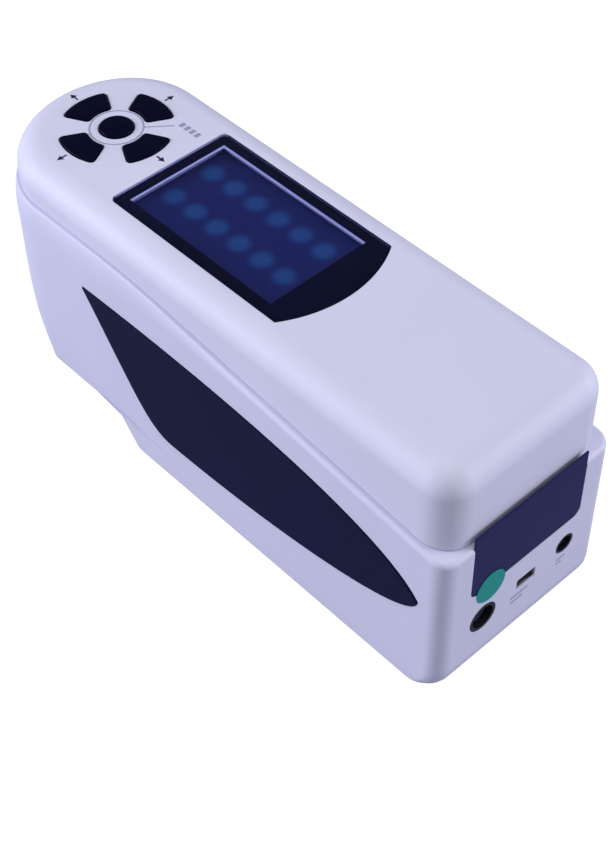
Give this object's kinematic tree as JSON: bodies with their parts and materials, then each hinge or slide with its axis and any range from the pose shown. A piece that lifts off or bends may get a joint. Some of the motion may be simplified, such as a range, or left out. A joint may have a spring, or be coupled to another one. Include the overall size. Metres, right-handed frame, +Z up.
{
  "type": "handheld colorimeter",
  "caption": "Handheld colorimeter with a screen and a ring of keys on top, side grips, a power rocker and sockets at its tail, and a measuring port under its raised nose.",
  "frame": {"origin": "centre of the footprint of the whole object, on the table that it stands on", "axes": "+X towards the tail with the sockets, -X towards the nose with the keys, +Z up, -Y the side seen in the picture"},
  "size_m": [0.2062, 0.069, 0.0924],
  "materials": {
    "cover_abs": "polished moulded ABS, pale lavender white",
    "housing_abs": "polished moulded ABS, pale lavender white",
    "grip_rubber": "soft touch overmould, near black navy",
    "seal_rubber": "dark foam seal",
    "foot_rubber": "dark rubber",
    "window_acrylic": "clear hard coated acrylic",
    "mask_ink": "black printed border",
    "lcd_glass": "dark blue display glass, switched off",
    "key_plastic": "moulded keys, near black navy",
    "steel": "zinc plated steel",
    "tin_plate": "stamped sheet metal",
    "silicone": "translucent silicone",
    "circuit_board": "green solder mask",
    "white_sphere": "matt white reflective coating",
    "black_plastic": "black moulded plastic",
    "optical_glass": "clear optical glass",
    "lamp_epoxy": "milky epoxy",
    "cell_sleeve": "blue shrink sleeve",
    "ribbon": "flexible ribbon cable",
    "tail_panel": "dark navy printed polycarbonate",
    "green_sticker": "plain green paper label"
  },
  "bodies": {
    "case": {"top_cover": "cover_abs", "lower_housing": "housing_abs", "parting_seal": "seal_rubber", "near_grip": "grip_rubber", "far_grip": "grip_rubber", "display_window": "window_acrylic", "window_mask": "mask_ink", "display_frame": "tin_plate", "display_panel": "lcd_glass", "display_board": "circuit_board", "key_mat": "silicone", "key_switches": "tin_plate", "key_board": "circuit_board", "sphere_base": "white_sphere", "sphere_cap": "white_sphere", "sphere_screws": "steel", "port_collar": "black_plastic", "aperture_ring": "white_sphere", "lens_barrel": "black_plastic", "lens": "optical_glass", "sensor_board": "circuit_board", "light_sensor": "black_plastic", "lamp_board": "circuit_board", "lamps": "lamp_epoxy", "main_board": "circuit_board", "board_chips": "black_plastic", "buzzer": "black_plastic", "flat_cable": "ribbon", "board_screws": "steel", "near_cell": "cell_sleeve", "far_cell": "cell_sleeve", "cell_holder": "black_plastic", "cell_contacts": "steel", "battery_door": "housing_abs", "door_screw": "steel", "tail_plate": "tail_panel", "status_sticker": "green_sticker", "power_switch": "black_plastic", "rocker_pin": "steel", "usb_socket": "tin_plate", "charging_socket": "black_plastic", "socket_board": "circuit_board", "feet": "foot_rubber", "case_screws": "steel"},
    "nose_key": {"nose_key": "key_plastic"},
    "tail_key": {"tail_key": "key_plastic"},
    "near_key": {"near_key": "key_plastic"},
    "far_key": {"far_key": "key_plastic"},
    "middle_key": {"middle_key": "key_plastic"},
    "power_rocker": {"power_rocker": "black_plastic"}
  },
  "joints": [
    {"name": "nose_key_press", "type": "slide", "parent": "case", "child": "nose_key", "axis": [0, 0, -1], "range_m": [0, 0.0005], "stiffness_N_per_m": 1500, "springref_m": -0.0004},
    {"name": "tail_key_press", "type": "slide", "parent": "case", "child": "tail_key", "axis": [0, 0, -1], "range_m": [0, 0.0005], "stiffness_N_per_m": 1500, "springref_m": -0.0004},
    {"name": "near_key_press", "type": "slide", "parent": "case", "child": "near_key", "axis": [0, 0, -1], "range_m": [0, 0.0005], "stiffness_N_per_m": 1500, "springref_m": -0.0004},
    {"name": "far_key_press", "type": "slide", "parent": "case", "child": "far_key", "axis": [0, 0, -1], "range_m": [0, 0.0005], "stiffness_N_per_m": 1500, "springref_m": -0.0004},
    {"name": "middle_key_press", "type": "slide", "parent": "case", "child": "middle_key", "axis": [0, 0, -1], "range_m": [0, 0.0005], "stiffness_N_per_m": 1500, "springref_m": -0.0004},
    {"name": "power_rock", "type": "hinge", "parent": "case", "child": "power_rocker", "pos_m": [0.0988, -0.0164, 0.0269], "axis": [0, 0, -1], "range_deg": [0, 16]}
  ]
}
